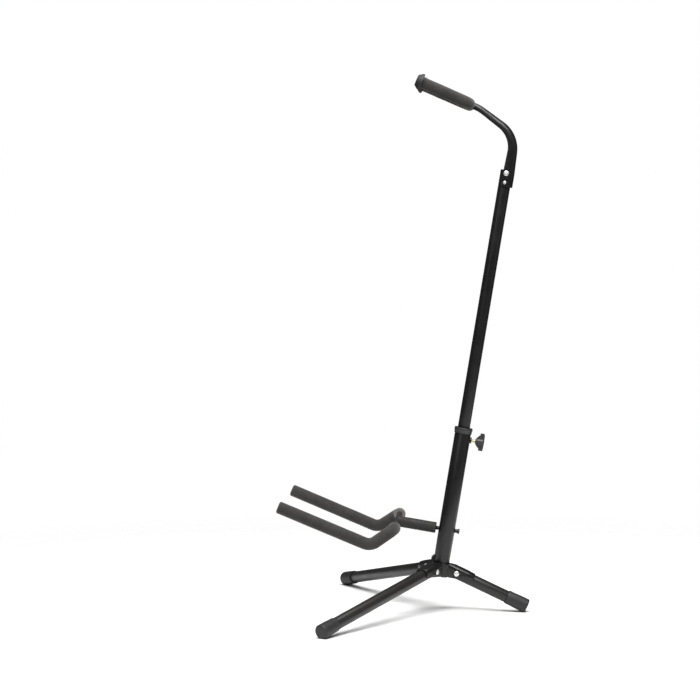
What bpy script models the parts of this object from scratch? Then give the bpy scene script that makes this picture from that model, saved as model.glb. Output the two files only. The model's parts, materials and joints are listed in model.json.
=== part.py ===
"""Tubular guitar stand: a leaning telescopic mast on a folding three-legged hub,
with a padded cradle for the guitar's body and a folding padded yoke for its neck.

Metres, +Z up. The cradle points to -Y, so a guitar leans back towards +Y. The
origin is on the floor, under the middle of the stand's bounding box.

Nearly everything is placed in the mast's frame: its Z runs up the mast from the
hub point, where the three leg axes meet, its X is the stand's X, and its Y points
backwards, square to the mast.
"""
import math

import bmesh
import bpy
from mathutils import Euler, Matrix, Vector

# General
GAP = 0.0003                     # clearance kept between touching pieces
MERGE = 0.000001
FINE, ROUND, SMALL = 32, 18, 12  # sides of a tube, of a foam sleeve, of a fastener

# Stance
LEAN = math.radians(9.3)         # mast, back from upright
DROOP = math.radians(15.85)      # legs, down from square to the mast
HUB_HEIGHT = 0.0721              # hub point above the floor
HUB_SETBACK = 0.0548             # hub point behind the middle of the bounding box
LEG_TURNS = {"right": -30.0, "left": 210.0, "rear": 90.0}   # about the mast, degrees

# Tubes
LOWER_R, LOWER_WALL = 0.0127, 0.0015
UPPER_R, UPPER_WALL = 0.009525, 0.0012
LEG_R, LEG_WALL = 0.0095, 0.0012

# Heights along the mast
MAST_FOOT = -0.0155
HUB_SCREW_HEIGHT = 0.0095
COLLAR_TOP = 0.2203
CLAMP_HEIGHT = 0.2020
CRADLE_HEIGHT = 0.0575
UPPER_FOOT = 0.1600
NECK_PIVOT = 0.6225
UPPER_TOP = NECK_PIVOT + 0.0052

# Fasteners
RIVET_SHANK = 0.0025
RIVET_HOLE = RIVET_SHANK + GAP
PIN_SHANK = 0.0020               # neck stop pin and hub screw
PIN_HOLE = PIN_SHANK + GAP
CLAMP_R = 0.0025                 # clamp screw's shank

# Hub
WEB = 0.0016                     # pressed steel thickness
CHEEK_INNER = LEG_R + GAP
CHEEK_OUTER = CHEEK_INNER + WEB
HUB_TOP, HUB_BOTTOM = 0.0050, -0.0168
BARREL_R = 0.0165
ARM_LENGTH = 0.0550
CHEEK_ROOT, CHEEK_DEPTH, CHEEK_END = 0.0140, 0.0105, 0.0015   # arm's sides below the axis
CHEEK_DEEP_TO = 0.0200           # where the sides start to taper
ARM_ROUND = 0.0080               # shoulders of the arm, outside
ARM_LIP = 0.0008                 # steel left at the arm's thinned end
EDGE_ROUND = 0.0025              # rounding of the barrel's foot
RIVET_OUT = 0.0275               # leg rivet from the hub point, along the leg
TAB_TOP, TAB_WIDTH = 0.0145, 0.0120
FAR = 0.5                        # reaches past everything, for cutters

# Feet
CAP_R, CAP_LENGTH, CAP_END = 0.0113, 0.0355, 0.0050
CAP_EDGE = 0.0030                # rounding of the cap's end
SOLE_CUT = 0.0008                # flat worn into the lowest edge of each cap

# Padding
ROD_R = 0.0040
FOAM_R, NECK_FOAM_R, FOAM_BORE = 0.00965, 0.0091, ROD_R + GAP
FOAM_TIP = 0.0050                # foam past the cradle rod's ends
FOAM_START = 0.0880              # cradle foam's inner ends, out from the stem

# Cradle, as (x, back, up) from the stem's axis at the mast
CROSSBAR_OUT = 0.0792
STEM_R, STEM_WALL, STEM_END = 0.0085, 0.0015, 0.0050
STEM_CLEAR = 0.0045              # play of the stem each way in the mast
BOLT_R, BOLT_HEAD_R, BOLT_HEAD = 0.0030, 0.0040, 0.0028
SHOULDER = Vector((0.1050, -CROSSBAR_OUT, 0.0))
BEND = Vector((0.1150, -0.1105, -0.0295))
TIP = Vector((0.1188, -0.2542, 0.0044))

# Neck rest
YOKE_BAR = Vector((0.0, -0.0740, 0.0966))       # crossbar, from the neck pivot
YOKE_HALF, YOKE_TIP_HALF = 0.0350, 0.0430
YOKE_RISE = math.radians(14.4)                  # prongs, up from square to the mast
YOKE_LENGTH = 0.0835
YOKE_BEND = 0.0140               # bend radius of the yoke's corners
CAP_FLANGE_R, CAP_FLANGE, CAP_DOME_R, CAP_DOME = 0.0130, 0.0045, 0.0085, 0.0050
CHEEK_R = UPPER_R + GAP                         # inside of the neck arm's fork
STOP_PIN_DROP = 0.0145                          # stop pin below the neck pivot
ARM_TAIL = 0.0209                               # neck arm below its pivot
ARM_SET_BACK = 0.0038                           # neck arm's middle behind the mast's axis
ARM_DEPTH, ARM_END_DEPTH = 0.0182, 0.0102       # front to back, at the pivot and the yoke
ARM_TAPER = 0.0805                              # depth lost per metre of arm
ARM_END_HALF = 0.0060                           # half of the arm's width at the yoke
FORK_LENGTH = 0.0340                            # arm's full-width stretch

# Finishes: colour, roughness, metallic
PAINT = ((0.012, 0.012, 0.013), 0.38, 0.0)
FOAM = ((0.045, 0.045, 0.045), 0.95, 0.0)
RUBBER = ((0.030, 0.030, 0.030), 0.75, 0.0)
PLASTIC = ((0.018, 0.018, 0.018), 0.50, 0.0)
STEEL = ((0.720, 0.710, 0.690), 0.28, 1.0)


# ---------------------------------------------------------------- tools

def clear_scene():
    """Empties the file that the script runs in."""
    for obj in list(bpy.data.objects):
        bpy.data.objects.remove(obj, do_unlink=True)


def empty(name, parent=None, location=(0, 0, 0), rotation=(0, 0, 0)):
    """An axis or a frame that other pieces hang on."""
    obj = bpy.data.objects.new(name, None)
    bpy.context.scene.collection.objects.link(obj)
    obj.empty_display_size = 0.02
    obj.parent = parent
    obj.location = location
    obj.rotation_euler = rotation
    return obj


def material(name, finish):
    """A Principled material for one sub-part."""
    colour, roughness, metallic = finish
    mat = bpy.data.materials.new(name)
    mat.use_nodes = True
    shader = mat.node_tree.nodes["Principled BSDF"]
    shader.inputs["Base Color"].default_value = (*colour, 1.0)
    shader.inputs["Roughness"].default_value = roughness
    shader.inputs["Metallic"].default_value = metallic
    return mat


def solid(name, bm, finish=None, parent=None, location=(0, 0, 0), rotation=(0, 0, 0)):
    """Turns a bmesh into a named object; one with no finish is a cutter."""
    bmesh.ops.recalc_face_normals(bm, faces=bm.faces)
    mesh = bpy.data.meshes.new(name)
    bm.to_mesh(mesh)
    bm.free()
    obj = bpy.data.objects.new(name, mesh)
    bpy.context.scene.collection.objects.link(obj)
    obj.parent = parent
    obj.location = location
    obj.rotation_euler = rotation
    if finish is None:
        obj.hide_render = True
        obj.display_type = "WIRE"
        return obj
    mesh.materials.append(material(name + "_finish", finish))
    mesh.shade_smooth()
    mesh.set_sharp_from_angle(angle=math.radians(35))
    return obj


def combine(obj, other, operation):
    """Adds one exact Boolean step to an object."""
    step = obj.modifiers.new(f"{operation.lower()}_{other.name}", "BOOLEAN")
    step.operation = operation
    step.solver = "EXACT"
    step.object = other


def lathe(profile, sides=FINE, closed=True):
    """A body turned about Z from (radius, height) points."""
    bm = bmesh.new()
    verts = [bm.verts.new((radius, 0.0, height)) for radius, height in profile]
    edges = [bm.edges.new(pair) for pair in zip(verts, verts[1:])]
    if closed:
        edges.append(bm.edges.new((verts[-1], verts[0])))
    bmesh.ops.spin(bm, geom=verts + edges, cent=(0, 0, 0), axis=(0, 0, 1),
                   angle=math.tau, steps=sides)
    bmesh.ops.remove_doubles(bm, verts=bm.verts, dist=MERGE)
    return bm


def cylinder(radius, low, high, sides=FINE):
    """A plain solid cylinder about Z."""
    return lathe([(0, low), (radius, low), (radius, high), (0, high)], sides, closed=False)


def pipe(outer, inner, low, high, sides=FINE):
    """A straight tube about Z, open at both ends."""
    return lathe([(inner, low), (outer, low), (outer, high), (inner, high)], sides)


def box(low, high):
    """A block between two corners."""
    bm = bmesh.new()
    bmesh.ops.create_cube(bm, size=1.0)
    low, high = Vector(low), Vector(high)
    bmesh.ops.scale(bm, verts=bm.verts, vec=high - low)
    bmesh.ops.translate(bm, verts=bm.verts, vec=(low + high) / 2)
    return bm


def prism(outline, half_width):
    """An outline in the XZ plane, given as (x, z) points, made solid along Y."""
    bm = bmesh.new()
    face = bm.faces.new([bm.verts.new((x, -half_width, z)) for x, z in outline])
    result = bmesh.ops.extrude_face_region(bm, geom=[face])
    moved = [item for item in result["geom"] if isinstance(item, bmesh.types.BMVert)]
    bmesh.ops.translate(bm, verts=moved, vec=(0, 2 * half_width, 0))
    return bm


def arc(centre, radius, start, end, steps):
    """Points of a circular arc, between two angles in degrees."""
    angles = [math.radians(start + (end - start) * i / steps) for i in range(steps + 1)]
    return [(centre[0] + radius * math.cos(a), centre[1] + radius * math.sin(a)) for a in angles]


def rounded_path(corners, radii, step=math.radians(15)):
    """Points along straight runs whose inner corners are bent to the given radii."""
    points = [corners[0]]
    for before, corner, after, radius in zip(corners, corners[1:], corners[2:], radii):
        into = (corner - before).normalized()
        out = (after - corner).normalized()
        turn = into.angle(out)
        cut = radius * math.tan(turn / 2)
        inward = (out - into).normalized()
        centre = corner + inward * (radius / math.cos(turn / 2))
        count = max(2, math.ceil(turn / step))
        spoke = corner - into * cut - centre
        axis = into.cross(out)
        for i in range(count + 1):
            points.append(centre + Matrix.Rotation(turn * i / count, 3, axis) @ spoke)
    points.append(corners[-1])
    return points


def rings_along(bm, points, radii, sides):
    """Circles of vertices square to a path, carried along it without twist."""
    rings = []
    side = None
    for i, (point, radius) in enumerate(zip(points, radii)):
        before = points[max(i - 1, 0)]
        after = points[min(i + 1, len(points) - 1)]
        along = (after - before).normalized()
        side = along.orthogonal() if side is None else side - along * side.dot(along)
        side.normalize()
        other = along.cross(side)
        angles = [math.tau * k / sides for k in range(sides)]
        rings.append([bm.verts.new(point + radius * (side * math.cos(a) + other * math.sin(a)))
                      for a in angles])
    return rings


def bridge(bm, rings):
    """Walls between successive rings of the same size."""
    for first, second in zip(rings, rings[1:]):
        count = len(first)
        for k in range(count):
            nxt = (k + 1) % count
            bm.faces.new((first[k], first[nxt], second[nxt], second[k]))


def rod(points, radius, sides=SMALL):
    """A solid round bar along a path."""
    bm = bmesh.new()
    rings = rings_along(bm, points, [radius] * len(points), sides)
    bridge(bm, rings)
    bm.faces.new(rings[0])
    bm.faces.new(rings[-1])
    return bm


def sleeve(points, outer, inner, end_wall=0.0, edge=0.0015):
    """A round sleeve along a path; end_wall closes its far end."""
    bm = bmesh.new()
    out = (points[-1] - points[-2]).normalized()
    back = (points[1] - points[0]).normalized()
    skin = [points[0], points[0] + back * edge, *points[1:-1], points[-1] - out * edge, points[-1]]
    radii = [outer - edge] + [outer] * (len(skin) - 2) + [outer - edge]
    bore = [*points[:-1], points[-1] - out * end_wall]
    outside = rings_along(bm, skin, radii, ROUND)
    inside = rings_along(bm, bore, [inner] * len(bore), ROUND)
    bridge(bm, outside)
    bridge(bm, inside)
    bridge(bm, [outside[0], inside[0]])
    if end_wall:
        bm.faces.new(outside[-1])
        bm.faces.new(inside[-1])
    else:
        bridge(bm, [outside[-1], inside[-1]])
    return bm


def rivet(head_r, dome, shank_r, half_grip, sides=SMALL):
    """A domed rivet along Z, with a head at each end of its grip."""
    shoulder = half_grip + GAP
    rim = (head_r * 0.70, shoulder + dome * 0.75)
    half = [(shank_r, shoulder), (head_r, shoulder), (head_r, shoulder + dome * 0.25), rim,
            (0.0, shoulder + dome)]
    profile = [(r, -z) for r, z in reversed(half)] + half
    return lathe(profile, sides, closed=False)


# ---------------------------------------------------------------- hub and legs

def channel_ring(bm, out, half, corner, bottom):
    """One ring of a round-shouldered bar: flat sides, rounded top, open depth below."""
    flat = half - corner
    right = arc((flat, flat), corner, 0, 90, 5)
    outline = [(half, bottom), *right, *[(-y, z) for y, z in reversed(right)], (-half, bottom)]
    return [bm.verts.new((out, y, z)) for y, z in outline]


def drooping_bar(name, parent, turn, stations):
    """A solid along a leg's axis through (out, half width, corner radius, bottom) stations."""
    bm = bmesh.new()
    rings = [channel_ring(bm, *station) for station in stations]
    bridge(bm, rings)
    bm.faces.new(rings[0])
    bm.faces.new(rings[-1])
    return solid(name, bm, None, parent, rotation=along_leg(turn))


def hub_arm(name, parent, turn):
    """One drooping arm of the hub, rounded over its leg and thinned at its end."""
    thin = CHEEK_INNER + ARM_LIP
    return drooping_bar(name, parent, turn, [
        (0.0, CHEEK_OUTER, ARM_ROUND, -CHEEK_ROOT),
        (CHEEK_DEEP_TO, CHEEK_OUTER, ARM_ROUND, -CHEEK_DEPTH),
        (ARM_LENGTH - 0.0120, CHEEK_OUTER, ARM_ROUND, -CHEEK_END - 0.0024),
        (ARM_LENGTH, thin, ARM_ROUND - CHEEK_OUTER + thin, -CHEEK_END)])


def hub_hollow(name, parent, turn):
    """The open underside of one arm, where its leg lies and folds."""
    corner = ARM_ROUND - WEB
    hollow = drooping_bar(name, parent, turn, [(0.008, CHEEK_INNER, corner, -ARM_LENGTH),
                                               (2 * ARM_LENGTH, CHEEK_INNER, corner, -ARM_LENGTH)])
    above = box((-0.2, -0.2, HUB_TOP - WEB), (0.2, 0.2, 0.2))
    combine(hollow, solid("cut_ceiling", above, None, parent), "DIFFERENCE")
    return hollow


def along_leg(turn):
    """Euler angles that point local X out along a leg, drooping."""
    return (0.0, DROOP, turn)


def leg_pivot(turn):
    """Where a leg's rivet is, in the mast's frame."""
    return Euler(along_leg(turn)).to_matrix() @ Vector((RIVET_OUT, 0, 0))


def build_hub(mast):
    """Pressed-steel hub: a barrel round the mast's foot and three channel arms."""
    foot = arc((BARREL_R - EDGE_ROUND, HUB_BOTTOM + EDGE_ROUND), EDGE_ROUND, -90, 0, 4)
    barrel = lathe([(0, HUB_BOTTOM), *foot, (BARREL_R, HUB_TOP - 0.0010),
                    (BARREL_R - 0.0010, HUB_TOP), (0, HUB_TOP)], closed=False)
    hub = solid("hub", barrel, PAINT, mast)
    for side, degrees in LEG_TURNS.items():
        combine(hub, hub_arm(f"cut_arm_{side}", mast, math.radians(degrees)), "UNION")
    above = box((-0.2, -0.2, HUB_TOP), (0.2, 0.2, 0.2))
    combine(hub, solid("cut_above", above, None, mast), "DIFFERENCE")
    tab_back = -(LOWER_R + GAP)
    tab = box((-TAB_WIDTH / 2, tab_back - WEB, 0.0), (TAB_WIDTH / 2, tab_back + 0.004, TAB_TOP))
    combine(hub, solid("cut_tab", tab, None, mast), "UNION")
    for side, degrees in LEG_TURNS.items():
        turn = math.radians(degrees)
        combine(hub, hub_hollow(f"cut_hollow_{side}", mast, turn), "DIFFERENCE")
        hole = solid(f"cut_rivet_{side}", cylinder(RIVET_HOLE, -0.03, 0.03, SMALL), None, mast,
                     location=leg_pivot(turn), rotation=(math.radians(90), 0, turn))
        combine(hub, hole, "DIFFERENCE")
    bore = solid("cut_mast_bore", cylinder(LOWER_R + GAP, -0.05, 0.05), None, mast)
    combine(hub, bore, "DIFFERENCE")
    screw_hole = solid("cut_hub_screw", cylinder(PIN_HOLE, 0.010, 0.020, SMALL), None, mast,
                       location=(0, 0, HUB_SCREW_HEIGHT), rotation=(math.radians(90), 0, 0))
    combine(hub, screw_hole, "DIFFERENCE")


def build_hub_screw(mast):
    """Pan-head screw through the hub's tab into the mast's front wall."""
    tip, head = 0.0085, 0.0036
    seat = LOWER_R + GAP + WEB + GAP
    profile = [(0, tip), (PIN_SHANK, tip), (PIN_SHANK, seat), (head, seat),
               (head, seat + 0.0008), (head - 0.0012, seat + 0.0015), (0, seat + 0.0016)]
    solid("hub_screw", lathe(profile, SMALL, closed=False), STEEL, mast,
          location=(0, 0, HUB_SCREW_HEIGHT), rotation=(math.radians(90), 0, 0))


def leg_length(turn):
    """Hub point to the end of the foot cap, so that the cap just stands on the floor."""
    forward = -math.sin(turn)
    fall = math.sin(DROOP) * math.cos(LEAN) - math.cos(DROOP) * forward * math.sin(LEAN)
    level = math.sqrt(1 - fall * fall)
    below_edge = (CAP_R - CAP_EDGE) * level + CAP_EDGE
    return (HUB_HEIGHT - below_edge + SOLE_CUT) / fall + CAP_EDGE


def build_leg(mast, side, degrees, floor):
    """One leg tube, its rivet and its rubber foot, on the rivet's axis."""
    turn = math.radians(degrees)
    pivot = empty(f"pivot_leg_{side}", mast, leg_pivot(turn), along_leg(turn))
    reach = leg_length(turn) - RIVET_OUT
    along_x = (0, math.radians(90), 0)

    tube = solid(f"leg_{side}", pipe(LEG_R, LEG_R - LEG_WALL, -LEG_R, reach - CAP_END - GAP),
                 PAINT, pivot, rotation=along_x)
    around = LEG_R + 0.0001
    keep = lathe([*arc((0, 0), around, -90, 0, 8), (around, FAR), (0, FAR)], closed=False)
    rounding = solid(f"cut_end_{side}", keep, None, pivot, rotation=along_x)
    combine(tube, rounding, "INTERSECT")
    hole = solid(f"cut_leg_hole_{side}", cylinder(RIVET_HOLE, -0.02, 0.02, SMALL), None, pivot,
                 rotation=(math.radians(90), 0, 0))
    combine(tube, hole, "DIFFERENCE")

    solid(f"leg_rivet_{side}", rivet(0.0042, 0.0018, RIVET_SHANK, CHEEK_OUTER), STEEL, pivot,
          rotation=(math.radians(90), 0, 0))

    start, inner = reach - CAP_LENGTH, LEG_R + GAP
    profile = [(inner, start), (CAP_R - 0.0008, start), (CAP_R, start + 0.0008),
               *arc((CAP_R - CAP_EDGE, reach - CAP_EDGE), CAP_EDGE, 0, 90, 5), (0, reach),
               (0, reach - CAP_END), (inner, reach - CAP_END)]
    cap = solid(f"foot_{side}", lathe(profile), RUBBER, pivot, rotation=along_x)
    combine(cap, floor, "DIFFERENCE")


# ---------------------------------------------------------------- mast

def across(name, parent, radius, height, length=0.03, sides=SMALL):
    """A cutter from side to side through the mast."""
    return solid(name, cylinder(radius, -length, length, sides), None, parent,
                 location=(0, 0, height), rotation=(0, math.radians(90), 0))


def front_to_back(name, parent, radius, height, low, high):
    """A cutter along the mast frame's Y, between two depths."""
    return solid(name, cylinder(radius, low, high, SMALL), None, parent,
                 location=(0, 0, height), rotation=(math.radians(-90), 0, 0))


def build_lower_mast(mast):
    """The fixed lower tube, its plastic collar bush and the welded screw boss."""
    collar_seat = COLLAR_TOP - 0.0045
    tube = solid("lower_tube", pipe(LOWER_R, LOWER_R - LOWER_WALL, MAST_FOOT, collar_seat - GAP),
                 PAINT, mast)
    combine(tube, front_to_back("cut_stem", mast, BOLT_R + GAP, CRADLE_HEIGHT, -0.03, 0.03),
            "DIFFERENCE")
    clamp_hole = front_to_back("cut_clamp", mast, CLAMP_R + GAP, CLAMP_HEIGHT, 0.0, 0.03)
    combine(tube, clamp_hole, "DIFFERENCE")
    screw_hole = front_to_back("cut_tube_screw", mast, PIN_HOLE, HUB_SCREW_HEIGHT, -0.03, 0.0)
    combine(tube, screw_hole, "DIFFERENCE")

    bore = UPPER_R + GAP
    plug = LOWER_R - LOWER_WALL - GAP
    skirt = LOWER_R + GAP
    profile = [(bore, COLLAR_TOP - 0.0290), (plug - 0.0004, COLLAR_TOP - 0.0290),
               (plug, COLLAR_TOP - 0.0280), (plug, collar_seat), (skirt, collar_seat),
               (skirt, collar_seat - 0.0045), (skirt + 0.0005, collar_seat - 0.0045),
               (0.0142, collar_seat - 0.0005), (0.0142, COLLAR_TOP - 0.0006),
               (0.0136, COLLAR_TOP), (bore, COLLAR_TOP)]
    bush = solid("collar_bush", lathe(profile), PLASTIC, mast)
    window = front_to_back("cut_pad_window", mast, CLAMP_R + GAP, CLAMP_HEIGHT, 0.0, 0.0125)
    combine(bush, window, "DIFFERENCE")

    boss = solid("screw_boss", pipe(0.0048, CLAMP_R + GAP, 0.0100, 0.0152, SMALL), PAINT, mast,
                 location=(0, 0, CLAMP_HEIGHT), rotation=(math.radians(-90), 0, 0))
    combine(boss, solid("cut_boss_seat", cylinder(LOWER_R + GAP, 0.18, 0.22), None, mast),
            "DIFFERENCE")


def build_clamp(mast):
    """Wing screw that squeezes a small pad onto the upper tube."""
    axis = empty("pivot_clamp", mast, (0, 0, CLAMP_HEIGHT), (math.radians(-90), 0, 0))
    pad_face = UPPER_R + GAP
    screw_tip, screw_end = pad_face + 0.0018, 0.0300
    solid("clamp_pad", cylinder(CLAMP_R - 0.0002, pad_face, screw_tip - GAP, SMALL), PLASTIC,
          axis)
    screw = lathe([(0, screw_tip), (CLAMP_R - 0.0005, screw_tip), (CLAMP_R, screw_tip + 0.0006),
                   (CLAMP_R, screw_end), (0, screw_end)], SMALL, closed=False)
    solid("clamp_screw", screw, STEEL, axis)
    wing = [(0.0211, 0.0034), (0.0245, 0.0078), (0.0276, 0.0106), (0.0276, 0.0136),
            (0.0340, 0.0136), (0.0348, 0.0100), (0.0352, 0.0)]
    outline = [(z, x) for x, z in wing] + [(-z, x) for x, z in reversed(wing[:-1])]
    knob = solid("clamp_knob", prism(outline, 0.0030), PLASTIC, axis,
                 rotation=(0, 0, math.radians(90)))
    hub_body = solid("cut_knob_hub", lathe([(0, 0.0211), (0.0042, 0.0211), (0.0052, 0.0255),
                                            (0.0052, 0.0335), (0, 0.0350)], closed=False),
                     None, axis)
    combine(knob, hub_body, "UNION")
    socket = cylinder(CLAMP_R + GAP, 0.0, screw_end + GAP, SMALL)
    combine(knob, solid("cut_knob_socket", socket, None, axis), "DIFFERENCE")


def build_upper_mast(mast):
    """The sliding upper tube, the glide that centres its foot, and the neck's pins."""
    tube = solid("upper_tube", pipe(UPPER_R, UPPER_R - UPPER_WALL, UPPER_FOOT, UPPER_TOP),
                 PAINT, mast)
    stop_height = NECK_PIVOT - STOP_PIN_DROP
    combine(tube, across("cut_neck_pivot", mast, RIVET_HOLE, NECK_PIVOT), "DIFFERENCE")
    combine(tube, across("cut_stop_pin", mast, PIN_HOLE, stop_height), "DIFFERENCE")

    slide_r = LOWER_R - LOWER_WALL - GAP
    bore, lip = UPPER_R + GAP, 0.0070
    low, high = UPPER_FOOT - 0.0020, UPPER_FOOT + 0.0080
    profile = [(lip, low), (slide_r, low), (slide_r, high), (bore, high),
               (bore, UPPER_FOOT - GAP), (lip, UPPER_FOOT - GAP)]
    solid("mast_glide", lathe(profile), PLASTIC, mast)

    sideways = (0, math.radians(90), 0)
    grip = CHEEK_R + WEB
    solid("neck_rivet", rivet(0.0045, 0.0020, RIVET_SHANK, grip, ROUND), STEEL, mast,
          location=(0, 0, NECK_PIVOT), rotation=sideways)
    solid("neck_stop_pin", rivet(0.0029, 0.0014, PIN_SHANK, grip), STEEL, mast,
          location=(0, 0, stop_height), rotation=sideways)


# ---------------------------------------------------------------- neck rest

def fork_section(bm, point, along, depth, half):
    """Two rows of vertices, outer and inner, of the arm's U section at one station."""
    rear = Vector((0, along.z, -along.y))
    bend = min(0.0085, half * 0.90)
    rows = []
    for inset in (0.0, WEB):
        wall, back, turn = half - inset, depth / 2 - inset, bend - inset
        corner = arc((wall - turn, back - turn), turn, 0, 90, 5)
        side = [(wall, -depth / 2), *corner]
        outline = side + [(-x, y) for x, y in reversed(side)]
        rows.append([bm.verts.new(point + Vector((x, 0, 0)) + rear * y) for x, y in outline])
    return rows


def neck_arm_path():
    """The arm's centre line in the mast's middle plane, from its tail to the yoke."""
    def at(back, up):
        return Vector((0, back, NECK_PIVOT + up))
    corners = [at(ARM_SET_BACK, -ARM_TAIL), at(ARM_SET_BACK, 0.0604), at(-0.0570, 0.0928),
               at(-0.0695, 0.0960)]
    path = rounded_path(corners, [0.0450, 0.0600], math.radians(6))
    fork_top = at(ARM_SET_BACK, FORK_LENGTH - ARM_TAIL)
    return [path[0], at(ARM_SET_BACK, 0.0), fork_top] + path[1:]


def build_neck_arm(pivot):
    """Pressed channel that forks round the upper tube and tapers up to the yoke."""
    path = neck_arm_path()
    run, lengths = 0.0, [0.0]
    for before, after in zip(path, path[1:]):
        run += (after - before).length
        lengths.append(run)
    bm = bmesh.new()
    stations = []
    for i, (point, length) in enumerate(zip(path, lengths)):
        along = (path[min(i + 1, len(path) - 1)] - path[max(i - 1, 0)]).normalized()
        lost = ARM_TAPER * max(0.0, length - ARM_TAIL)
        depth = max(ARM_END_DEPTH, ARM_DEPTH - lost)
        narrow = max(0.0, (length - FORK_LENGTH) / (run - FORK_LENGTH))
        half = CHEEK_R + WEB + (ARM_END_HALF - CHEEK_R - WEB) * narrow
        outer, inner = fork_section(bm, point, along, depth, half)
        stations.append(outer + list(reversed(inner)))
    bridge(bm, stations)
    half_count = len(stations[0]) // 2
    for ring in (stations[0], stations[-1]):
        for k in range(half_count - 1):
            bm.faces.new((ring[k], ring[k + 1], ring[-k - 2], ring[-k - 1]))
    bmesh.ops.translate(bm, verts=bm.verts, vec=(0, 0, -NECK_PIVOT))
    arm = solid("neck_arm", bm, PAINT, pivot)
    combine(arm, across("cut_arm_pivot", pivot, RIVET_HOLE, 0.0), "DIFFERENCE")
    notch = box((-0.03, -0.02, -STOP_PIN_DROP - PIN_HOLE - 0.0001),
                (0.03, PIN_HOLE, -STOP_PIN_DROP + PIN_HOLE + 0.0011))
    combine(arm, solid("cut_stop_notch", notch, None, pivot), "DIFFERENCE")


def mirrored(points):
    """The same path on the other side of the stand."""
    return [Vector((-p.x, p.y, p.z)) for p in points]


def yoke_path():
    """Right half of the neck yoke: from the middle of the crossbar to a prong's end."""
    length_out = Vector((0, -math.cos(YOKE_RISE), math.sin(YOKE_RISE))) * YOKE_LENGTH
    corner = YOKE_BAR + Vector((YOKE_HALF, 0, 0))
    tip = corner + length_out + Vector((YOKE_TIP_HALF - YOKE_HALF, 0, 0))
    return [YOKE_BAR, corner, tip]


def build_neck_yoke(pivot):
    """Round rod bent to a U, with a foam sleeve and a flanged cap on each prong."""
    middle, corner, tip = yoke_path()
    half = rounded_path([middle, corner, tip], [YOKE_BEND])
    points = list(reversed(mirrored(half)))[:-1] + half[1:]
    solid("neck_yoke", rod(points, ROD_R), PAINT, pivot)

    along = (tip - corner).normalized()
    foam_start = middle + Vector((ARM_END_HALF + 0.0020, 0, 0))
    foam_end = tip - along * (CAP_FLANGE + GAP)
    right = rounded_path([foam_start, corner, foam_end], [YOKE_BEND])
    for side, route in (("right", right), ("left", mirrored(right))):
        solid(f"neck_foam_{side}", sleeve(route, NECK_FOAM_R, FOAM_BORE), FOAM, pivot)

    profile = [(ROD_R + GAP, 0.0), (CAP_FLANGE_R - 0.0008, 0.0), (CAP_FLANGE_R, 0.0008),
               (CAP_FLANGE_R, CAP_FLANGE - 0.0012), (CAP_FLANGE_R - 0.0012, CAP_FLANGE),
               (CAP_DOME_R, CAP_FLANGE),
               *arc((CAP_DOME_R - 0.003, CAP_FLANGE + CAP_DOME - 0.003), 0.003, 0, 90, 4),
               (0, CAP_FLANGE + CAP_DOME), (0, CAP_FLANGE + GAP), (ROD_R + GAP, CAP_FLANGE + GAP)]
    for side, sign in (("right", 1), ("left", -1)):
        aim = Vector((along.x * sign, along.y, along.z))
        seat = Vector((tip.x * sign, tip.y, tip.z)) - aim * CAP_FLANGE
        turn = aim.to_track_quat("Z", "X").to_euler()
        solid(f"neck_cap_{side}", lathe(profile, ROUND), RUBBER, pivot,
              location=seat, rotation=turn)


# ---------------------------------------------------------------- cradle

def build_cradle(mast):
    """Padded body cradle: bent rod, stem tube and the bolt that it turns on."""
    axis = empty("pivot_cradle", mast, (0, 0, CRADLE_HEIGHT))
    centre = Vector((0, -CROSSBAR_OUT, 0))
    corners, bends = [centre, SHOULDER, BEND, TIP], [0.0150, 0.0180]
    half = rounded_path(corners, bends)
    points = list(reversed(mirrored(half)))[:-1] + half[1:]
    solid("cradle_rod", rod(points, ROD_R), PAINT, axis)

    out = (TIP - BEND).normalized()
    foam_start = centre + Vector((FOAM_START, 0, 0))
    foam_end = TIP + out * (FOAM_TIP + GAP)
    right = rounded_path([foam_start, SHOULDER, BEND, foam_end], bends)
    for side, route in (("right", right), ("left", mirrored(right))):
        solid(f"cradle_foam_{side}", sleeve(route, FOAM_R, FOAM_BORE, FOAM_TIP), FOAM, axis)

    forward = (math.radians(90), 0, 0)
    near, far = LOWER_R + STEM_CLEAR, CROSSBAR_OUT
    profile = [(BOLT_R + GAP, near), (STEM_R - 0.0008, near), (STEM_R, near + 0.0008),
               (STEM_R, far), (STEM_R - STEM_WALL, far), (STEM_R - STEM_WALL, near + STEM_END),
               (BOLT_R + GAP, near + STEM_END)]
    stem = solid("cradle_stem", lathe(profile), PAINT, axis, rotation=forward)
    saddle = solid("cut_saddle", cylinder(ROD_R + GAP, -0.02, 0.02, ROUND), None, axis,
                   location=centre, rotation=(0, math.radians(90), 0))
    combine(stem, saddle, "DIFFERENCE")
    beyond = solid("cut_beyond", box((-0.02, -0.11, -0.02), (0.02, -CROSSBAR_OUT, 0.02)),
                   None, axis)
    combine(stem, beyond, "DIFFERENCE")

    head, bolt_end = near + BOLT_HEAD, near + 0.0140
    profile = [(0, head), (BOLT_HEAD_R - 0.0006, head), (BOLT_HEAD_R, head - 0.0006),
               (BOLT_HEAD_R, near), (BOLT_R, near), (BOLT_R, -bolt_end), (0, -bolt_end)]
    solid("cradle_bolt", lathe(profile, ROUND, closed=False), PAINT, axis,
          rotation=(math.radians(-90), 0, 0))


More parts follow.
